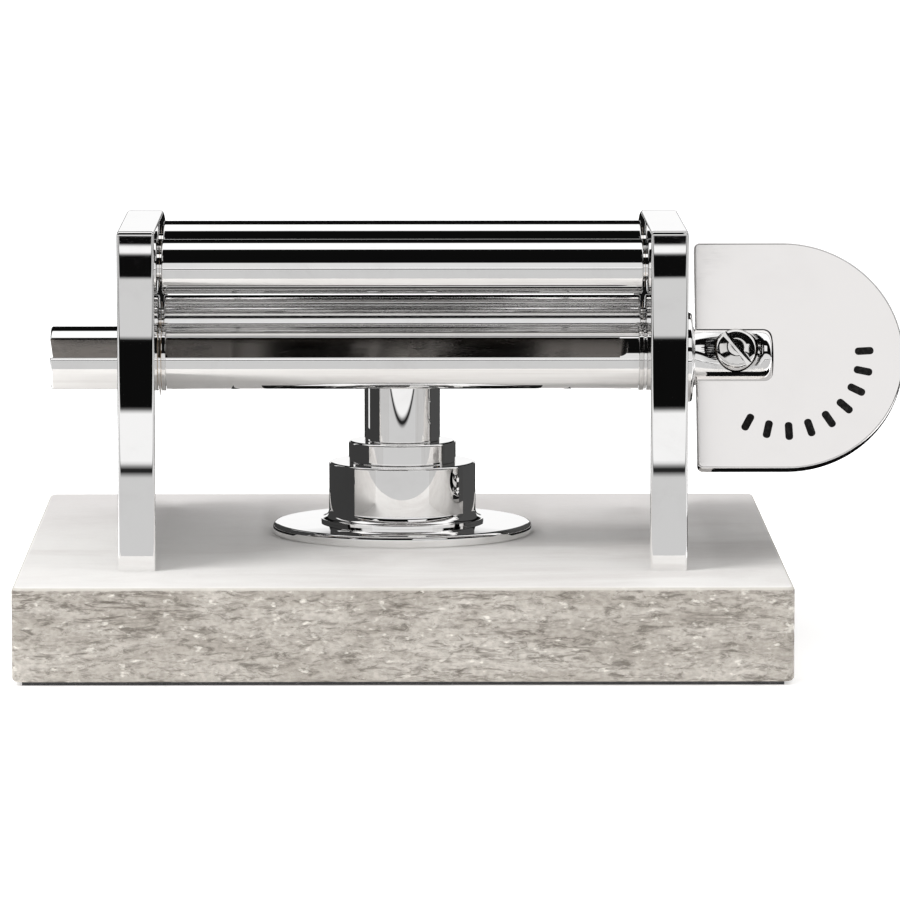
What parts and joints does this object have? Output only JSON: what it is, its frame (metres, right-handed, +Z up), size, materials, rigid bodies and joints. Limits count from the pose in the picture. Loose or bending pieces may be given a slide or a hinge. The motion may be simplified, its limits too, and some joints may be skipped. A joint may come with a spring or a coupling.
{
  "type": "roller machine",
  "caption": "Tabletop roller machine: chromed side plates on a square marble slab, a pinch pair, a guide roller, a slotted winding shaft with a flat D-shaped key, and a stepped centre post.",
  "frame": {"origin": "middle of the underside of the felt under the slab", "axes": "+Z up, +X towards the key, -Y towards the person who turns the key"},
  "size_m": [0.1828, 0.157, 0.0894],
  "materials": {
    "marble": "honed pale grey marble, opaque",
    "felt": "felt",
    "chrome": "mirror polished",
    "key_chrome": "polished",
    "steel": "polished",
    "bronze": "sintered"
  },
  "bodies": {
    "root": {"base_slab": "marble", "base_felt": "felt", "left_side_plate": "chrome", "right_side_plate": "chrome", "left_plate_screws": "steel", "right_plate_screws": "steel", "plate_screw_washers": "steel", "front_left_bush": "bronze", "front_right_bush": "bronze", "rear_left_bush": "bronze", "rear_right_bush": "bronze", "lower_left_bush": "bronze", "lower_right_bush": "bronze", "left_shaft_bush": "bronze", "right_shaft_bush": "chrome", "post_flange": "chrome", "post_hub": "chrome", "post_collar": "chrome", "post_stem": "chrome", "post_screw": "steel", "post_screw_washer": "steel"},
    "front_roller": {"front_roller": "chrome"},
    "rear_roller": {"rear_roller": "chrome"},
    "lower_roller": {"lower_roller": "chrome"},
    "shaft": {"winding_shaft": "chrome", "left_snap_ring": "steel", "right_snap_ring": "steel", "winding_key": "key_chrome", "key_screw": "steel"}
  },
  "joints": [
    {"name": "front_roller_spin", "type": "hinge", "parent": "root", "child": "front_roller", "pos_m": [0, -0.02, 0.0794], "axis": [1, 0, 0], "continuous": true},
    {"name": "rear_roller_spin", "type": "hinge", "parent": "root", "child": "rear_roller", "pos_m": [0, -0.008, 0.08231], "axis": [1, 0, 0], "continuous": true},
    {"name": "lower_roller_spin", "type": "hinge", "parent": "root", "child": "lower_roller", "pos_m": [0, -0.008, 0.0667], "axis": [1, 0, 0], "continuous": true},
    {"name": "shaft_turn", "type": "hinge", "parent": "root", "child": "shaft", "pos_m": [0, -0.02, 0.0604], "axis": [1, 0, 0], "continuous": true}
  ]
}
